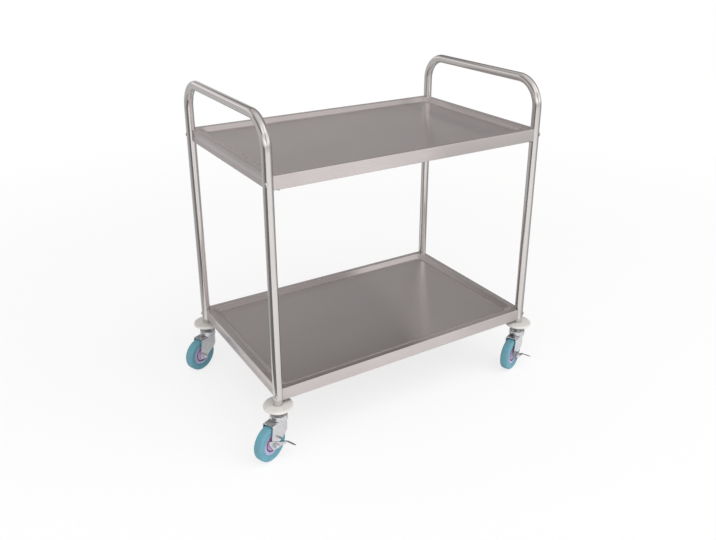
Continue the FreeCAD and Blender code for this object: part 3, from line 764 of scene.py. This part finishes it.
def fork(corner, place, crown, trail, axle):
    half, sheet = forkSheet["half"], forkSheet["sheet"]
    knee = Vector((-forkSheet["kneeLead"], axle + forkSheet["kneeHeight"]))
    hub, rear = Vector((trail, axle)), Vector((forkSheet["reach"], crown))
    front = tangent(knee - hub, forkSheet["legEnd"], 1)
    back = tangent(rear - hub, forkSheet["legEnd"], -1) + 2 * math.pi
    bottom = arcPoints(trail, axle, forkSheet["legEnd"], front, back, forkSheet["endSteps"])
    lowest = min(range(len(bottom)), key=lambda index: bottom[index].y)
    frontEdge = roundCorners(
        [(-forkSheet["lead"], crown), (knee.x, knee.y, forkSheet["kneeRadius"]), tuple(bottom[0])],
        forkSheet["kneeSteps"], closed=False,
    )
    frontEdge += bottom[:lowest + 1]
    backEdge = [rear] + bottom[lowest:][::-1]

    def across(edge, height):  # where an edge passes that height
        for high, low in zip(edge, edge[1:]):
            if high.y >= height >= low.y and high.y > low.y:
                return high.lerp(low, (high.y - height) / (high.y - low.y)).x
        return edge[-1].x

    def curl(x):  # how far the legs close in behind the kingpin
        behind = min(x - forkSheet["curlFrom"], 0)
        return forkSheet["curlRadius"] - math.sqrt(forkSheet["curlRadius"] ** 2 - behind ** 2)

    bends = roundCorners(
        [(half, bottom[lowest].y), (half, crown, forkSheet["fold"]), (0, crown)],
        forkSheet["foldSteps"], closed=False,
    )
    straight = bends[1].y - bends[0].y
    leg = [Vector((half, bends[0].y + straight * (1 - math.cos(math.pi / 2 * step / forkSheet["rows"]))))
           for step in range(forkSheet["rows"])]
    run = leg + bends[1:]
    run += [Vector((-spot.x, spot.y)) for spot in run[-2::-1]]
    rows = []
    for side, height in run:
        left, right = across(frontEdge, height), across(backEdge, height)
        row = []
        for step in range(forkSheet["columns"] + 1):
            x = left + (right - left) * step / forkSheet["columns"]
            row.append((x, side - math.copysign(curl(x), side) if side else 0, height))
        rows.append(row)
    shape = Shape()
    shape.grid(rows, wrapAcross=False)
    made = shape.piece(
        f"{corner}.forkSheet", f"{corner}_castor", "zinc", [f"{corner}_fork"], place,
        sharp=forkSheet["sharp"],
    )
    thicken(made, sheet, forkSheet["edge"])

    cup, bore, edge = swivel["cup"], lowerRace["bore"], lowerRace["edge"]
    race = cup - swivel["wall"] - lowerRace["gap"]
    brim, top = crown + lowerRace["lift"], crown + lowerRace["height"]
    profile = roundCorners([
        (bore, crown - sheet), (cup, crown - sheet, lowerRace["footEdge"]), (cup, brim, edge), (race, brim),
        (race, top, edge), (bore, top),
    ], lowerRace["bendSteps"])
    shape = Shape()
    shape.turned(profile, lowerRace["sides"])
    shape.piece(f"{corner}.lowerRace", f"{corner}_castor", "zinc", [f"{corner}_fork"], place)


wheelHub = {
    "radius": 0.0305, "width": 0.020, "bore": 0.0065, "boss": 0.011, "bossWidth": 0.0284,
    "bossEdge": 0.0008, "bossFoot": 0.0012, "grooveIn": 0.0185, "grooveOut": 0.0225, "grooveDepth": 0.0025,
    "grooveDraft": 0.0003, "grooveEdge": 0.0006, "grooveFoot": 0.0008, "bendSteps": 4, "sides": 128,
}
wheelTyre = {
    "width": 0.026, "shoulder": 0.0062, "flank": 0.005, "flankEdge": 0.0022, "crown": 0.0006,
    "crownRadius": 0.02, "bendSteps": 8, "sides": 160, "sharp": 45,
}


def mirrored(spots):  # the same run on the far side of the wheel, backwards
    return [(spot[0], -spot[1], *spot[2:]) for spot in spots[::-1]]


def wheel(corner, place, radius):
    body, face = f"{corner}_wheel", wheelHub["width"] / 2
    boss, bossFace, bossFoot = wheelHub["boss"], wheelHub["bossWidth"] / 2, wheelHub["bossFoot"]
    bed, draft = face - wheelHub["grooveDepth"], wheelHub["grooveDraft"]
    edge, grooveFoot = wheelHub["grooveEdge"], wheelHub["grooveFoot"]
    half = [
        (wheelHub["bore"], bossFace), (boss, bossFace, wheelHub["bossEdge"]),
        (boss + bossFoot, face, bossFoot), (wheelHub["grooveIn"], face, edge),
        (wheelHub["grooveIn"] + draft, bed, grooveFoot),
        (wheelHub["grooveOut"] - draft, bed, grooveFoot), (wheelHub["grooveOut"], face, edge),
        (wheelHub["radius"], face),
    ]
    shape = Shape()
    shape.turned(roundCorners(half + mirrored(half), wheelHub["bendSteps"]), wheelHub["sides"])
    shape.piece(f"{corner}.wheelHub", body, "hub", [f"{corner}_hub"], place)

    seat, side = wheelHub["radius"], wheelTyre["width"] / 2
    half = [
        (seat, face), (seat + wheelTyre["flank"], side, wheelTyre["flankEdge"]),
        (radius - wheelTyre["crown"], side, wheelTyre["shoulder"]),
    ]
    profile = half + [(radius, 0, wheelTyre["crownRadius"])] + mirrored(half)
    shape = Shape()
    shape.turned(roundCorners(profile, wheelTyre["bendSteps"]), wheelTyre["sides"])
    shape.piece(f"{corner}.wheelTyre", body, "tyre", [f"{corner}_tyre"], place, sharp=wheelTyre["sharp"])


axleSet = {
    "radius": 0.004, "hex": 0.013, "head": 0.0053, "nut": 0.0065, "nutFoot": 0.5, "dome": 0.00598,
    "fork": 0.0175, "lever": 0.0026, "threadShare": 0.9, "domeSteps": 12, "pinSides": 48,
}


def axleAndNut(corner, place):
    body, pin, foot = f"{corner}_castor", axleSet["radius"], -axleSet["fork"]
    wide, chamfer = hexReach(axleSet["hex"])
    seat = axleSet["fork"] + (axleSet["lever"] if corner in braked else 0)
    rim, head = chamfer * hexagon["slant"], foot - axleSet["head"]
    tip = seat + axleSet["nut"] * axleSet["threadShare"]
    shape = Shape()
    shape.turned([
        (0, head), (wide - chamfer, head), (wide, head + rim), (wide, foot), (0, foot),
    ], hexagon["sides"], flats=axleSet["hex"])
    shape.turned([(0, foot), (pin, foot), (pin, tip), (0, tip)], axleSet["pinSides"])
    shape.piece(f"{corner}.axleBolt", body, "zinc", [f"{corner}_axle"], place)

    top, share = seat + axleSet["nut"], axleSet["nutFoot"]
    profile = [(pin, seat), (wide - chamfer * share, seat), (wide, seat + rim * share), (wide, top - rim)]
    profile.append((wide - chamfer, top))
    profile += arcPoints(0, top, axleSet["dome"], 0, math.pi / 2, axleSet["domeSteps"])
    profile += [(0, tip), (pin, tip)]
    shape = Shape()
    shape.turned(profile, hexagon["sides"], flats=axleSet["hex"])
    shape.piece(f"{corner}.capNut", body, "zinc", [f"{corner}_axle_nut"], place)


brakePlate = {
    "sheet": 0.002, "plane": 0.0178, "boss": 0.013, "tail": (0.028, 0.027), "nose": (-0.036, -0.009),
    "pedalLength": 0.032, "pedalWidth": 0.015, "pedalSlope": 217, "fold": 0.003, "foldSteps": 6,
    "tailRadius": 0.004, "tailSteps": 6, "endRadius": 0.005, "endSteps": 6, "bossSteps": 16, "edge": 0.0004,
    "sharp": 50,
}


def brakeLever(corner, place):
    slope = math.radians(brakePlate["pedalSlope"])
    down = Vector((math.cos(slope), math.sin(slope)))  # along the fold between plate and pedal
    inward = Vector((-down.y, down.x))
    boss, tail, nose = brakePlate["boss"], Vector(brakePlate["tail"]), Vector(brakePlate["nose"])
    noseEnd = nose + down * brakePlate["pedalWidth"]
    if inward.dot(tail - nose) < 0:
        inward = -inward
    fold = brakePlate["fold"]

    first, last = (tangent(spot, boss, side) % (2 * math.pi) for spot, side in ((noseEnd, 1), (tail, -1)))
    arc = arcPoints(0, 0, boss, first, last, brakePlate["bossSteps"])
    tip = roundCorners(
        [tuple(arc[-1]), (*tail, brakePlate["tailRadius"]), tuple(nose)],
        brakePlate["tailSteps"], closed=False,
    )[1:-1]
    foldEnds = nose + inward * fold, noseEnd + inward * fold
    columns = 2 * brakePlate["endSteps"]
    line = [foldEnds[0].lerp(foldEnds[1], c / columns) for c in range(columns + 1)]
    near = brakePlate["plane"] + brakePlate["sheet"]
    rows = []
    for step in range(brakePlate["foldSteps"] + 1):
        angle = math.pi / 2 * step / brakePlate["foldSteps"]
        shift, out = -inward * fold * math.sin(angle), near + fold * (1 - math.cos(angle))
        rows.append([(*(spot + shift), out) for spot in line])
    far, endRadius = brakePlate["plane"] + brakePlate["pedalLength"], brakePlate["endRadius"]
    for step in range(brakePlate["endSteps"] + 1):  # rounded free end of the pedal
        angle = math.pi / 2 * step / brakePlate["endSteps"]
        out = far - endRadius * (1 - math.sin(angle))
        narrow = endRadius * (1 - math.cos(angle))
        start, end = nose + down * narrow, noseEnd - down * narrow
        rows.append([(*start.lerp(end, c / columns), out) for c in range(columns + 1)])
    shape = Shape()
    base = shape.grid([[(x, out, y) for x, y, out in row] for row in rows], wrapAcross=False)
    rim = [base + c for c in range(columns + 1)]
    for spot in arc + tip:
        rim.append(len(shape.points))
        shape.points.append(Vector((spot.x, near, spot.y)))
    shape.faces.append(rim)
    shape.points = [place @ point for point in shape.points]
    finish = shadedPedalLever(f"{corner}.lever", place.translation, place.to_3x3() @ Vector((0, 1, 0)))
    made = shape.piece(
        f"{corner}.brakePlate", f"{corner}_brake", "zinc", [f"{corner}_brake_lever"],
        sharp=brakePlate["sharp"], finish=finish,
    )
    return thicken(made, brakePlate["sheet"], brakePlate["edge"])


def castor(corner):
    pivot, hub = (Vector(joints[f"{corner}_{name}"]["pos_m"]) for name in ("swivel", "roll"))
    along = hub - pivot
    trail = along.to_2d().length
    place = Matrix.Translation((pivot.x, pivot.y, 0)) @ Matrix.Rotation(math.atan2(along.y, along.x), 4, "Z")
    stemAndCup(corner, place, pivot.z)
    fork(corner, place, pivot.z, trail, hub.z)
    atAxle = place @ Matrix.Translation((trail, 0, hub.z))
    onAxle = atAxle @ Matrix.Rotation(-math.pi / 2, 4, "X")
    low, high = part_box(f"{corner}_tyre")
    wheel(corner, onAxle, (high.z - low.z) / 2)
    axleAndNut(corner, onAxle)
    if corner in braked:
        brakeLever(corner, atAxle)


for corner in corners:
    castor(corner)
print("castors made")


# floor, light and camera

studio = {
    "floorTone": 0.94, "floorSize": 80, "floorMottle": 3, "mottleTone": (0.99, 0.99, 0.985),
    "nearGlow": 0.76, "glowSpan": (1.0, 3.2), "floorInMirror": 0.4, "skyInMirror": 0.15,
    "sky": [(0.0, 0.54), (0.12, 0.58), (0.26, 0.60), (0.42, 0.09), (0.61, 0.09), (0.68, 0.60), (0.72, 0.60),
            (0.77, 0.42), (0.90, 0.75), (1.0, 0.85)],
    "skyTint": (1.0, 0.955, 0.955), "frontGain": 0.15,
    # headings go from the back towards the right, in radians, and heights from the horizon up
    "shade": {"from": 0.35, "to": 0.85, "gain": -0.22, "low": 0.30, "high": 0.42},
    "windows": [
        {"from": -0.75, "to": -0.10, "soft": 0.12, "low": 0.26, "high": 0.50, "gain": 0.55},
        {"from": -2.85, "to": -2.20, "soft": 0.25, "low": 0.20, "high": 0.75, "gain": 0.8},
        {"from": 1.90, "to": 2.85, "soft": 0.25, "low": 0.20, "high": 0.75, "gain": 0.9},
    ],
    "key": {"place": (0.3, -2.3, 2.5), "aim": (0, -0.3, 0.3), "size": (6.4, 4.6), "power": 70},
    "fill": {"place": (-2.6, -0.6, 2.0), "aim": (0, 0, 0.4), "size": (1.6, 1.6), "power": 12},
    # dark cards on the floor, seen only in the metal: headings from the front, in degrees, and tone
    "cards": [(-88, -50, 0.20), (-120, -88, 0.46), (-180, -120, 0.60), (36, 58, 0.66), (58, 180, 0.40)],
    "cardReach": (0.75, 30), "cardHeight": 0.003, "cardStep": 6,
}


def raysThatShowIt(board, share):  # the camera sees plain white, and mirrors see a share of it
    kinds = ("Camera", "Glossy", "Transmission")
    seen, glossy, through = (board.add("LightPath", {}, {}, out=f"Is {kind} Ray") for kind in kinds)
    return seen + (glossy + through) * share


def floorFinish():  # lit and shadowed near the trolley, running out into white
    material, board, spot = newFinish("paleFloor")
    x, y, _ = board.split(spot)
    away = board.between(fromAxis(x, y), *studio["glowSpan"])
    glow = studio["nearGlow"] + away * (1 - studio["nearGlow"])
    tone = studio["floorTone"]
    mottle = board.noise(spot, studio["floorMottle"], detail=2)
    plain = board.mixColour(mottle, (tone, tone, tone), [tone * share for share in studio["mottleTone"]])
    lit = board.add("BsdfDiffuse", {}, {"Color": plain})
    white = board.add("Emission", {}, {"Strength": 1.0})
    share = raysThatShowIt(board, studio["floorInMirror"]) * glow
    shown = board.add("MixShader", {}, {0: share, 1: lit, 2: white})
    board.add("OutputMaterial", {}, {"Surface": shown})
    return material


floorHalf = studio["floorSize"] / 2
floorShape = Shape()
floorSides = (-floorHalf, floorHalf)
floorShape.grid([[(x, y, 0) for x in floorSides] for y in floorSides], wrapAcross=False)
floor = placeObject("floor", floorShape.mesh("floor", floorFinish()))


def studioCard(name, start, end, tone):
    material, board, _ = newFinish(name)
    board.add("OutputMaterial", {}, {"Surface": board.add("Emission", {}, {"Strength": tone})})
    steps = max(2, int((end - start) / studio["cardStep"]))
    headings = [math.radians(start + (end - start) * step / steps) for step in range(steps + 1)]
    rows = []
    for reach in studio["cardReach"]:
        rows.append([(reach * math.sin(a), -reach * math.cos(a), studio["cardHeight"]) for a in headings])
    shape = Shape()
    shape.grid(rows, wrapAcross=False)
    card = placeObject(name, shape.mesh(name, material))
    card.visible_camera = card.visible_diffuse = card.visible_shadow = False


for index, (start, end, tone) in enumerate(studio["cards"]):
    studioCard(f"card{index}", start, end, tone)


def studioSky():  # a dark band half up, a shaded pane back right, soft windows back left and in front
    world = bpy.data.worlds.new("studio")
    world.use_nodes = True
    bpy.context.scene.world = world
    board = Board(world.node_tree)
    x, y, z = board.split(board.add("TexCoord", {}, {}, out="Generated"))
    stops = [(spot, (tone, tone, tone)) for spot, tone in studio["sky"]]
    fade = board.add("ValToRGB", {"stops": stops}, {0: z})
    tone = board.add("RGBToBW", {}, {0: fade})
    heading = board.add("Math", {"operation": "ARCTAN2"}, {0: x, 1: y})
    shade = studio["shade"]
    pane = board.between(heading, shade["from"], shade["to"])
    pane = pane * (1 - board.between(z, shade["low"], shade["high"]))
    front = board.between(0 - y, 0, 1) * studio["frontGain"]
    strength = tone + pane * shade["gain"] + front
    for window in studio["windows"]:
        soft, low, high = window["soft"], window["low"], window["high"]
        wide = board.between(heading, window["from"] - soft, window["from"])
        wide = wide * (1 - board.between(heading, window["to"], window["to"] + soft))
        tall = board.between(z, low - soft, low) * (1 - board.between(z, high, high + soft))
        strength = strength + wide * tall * window["gain"]
    tinted = board.add("VectorMath", {"operation": "SCALE"}, {0: studio["skyTint"], "Scale": strength})
    dim = board.add("Background", {}, {"Color": tinted, "Strength": 1.0})
    white = board.add("Background", {}, {"Color": (1, 1, 1, 1), "Strength": 1.0})
    shown = board.add("MixShader", {}, {0: raysThatShowIt(board, studio["skyInMirror"]), 1: dim, 2: white})
    board.add("OutputWorld", {}, {"Surface": shown})


studioSky()


def softbox(name, spec):
    lamp = bpy.data.lights.new(name, "AREA")
    lamp.shape = "RECTANGLE"
    lamp.size, lamp.size_y = spec["size"]
    lamp.energy = spec["power"]
    holder = placeObject(name, lamp)
    holder.location = spec["place"]
    holder.rotation_euler = (Vector(spec["place"]) - Vector(spec["aim"])).to_track_quat("Z", "Y").to_euler()
    holder.visible_glossy = False  # the metal mirrors the sky alone, so no tray burns out


softbox("keyLight", studio["key"])
softbox("fillLight", studio["fill"])

shot = {
    "azimuth": -31.6, "elevation": 21.54, "distance": 2.2, "aim": (-0.017, -0.0015, 0.491),
    "lens": 37.52, "shift": -0.0698,
}
turn, tilt = math.radians(shot["azimuth"]), math.radians(shot["elevation"])
back = Vector((math.sin(turn) * math.cos(tilt), -math.cos(turn) * math.cos(tilt), math.sin(tilt)))
camera = placeObject("camera", bpy.data.cameras.new("camera"))
camera.data.lens = shot["lens"]
camera.data.shift_y = shot["shift"]
camera.location = Vector(shot["aim"]) + back * shot["distance"]
camera.rotation_euler = back.to_track_quat("Z", "Y").to_euler()
bpy.context.scene.camera = camera
bpy.context.scene.view_settings.view_transform = "Standard"
print("stage set")
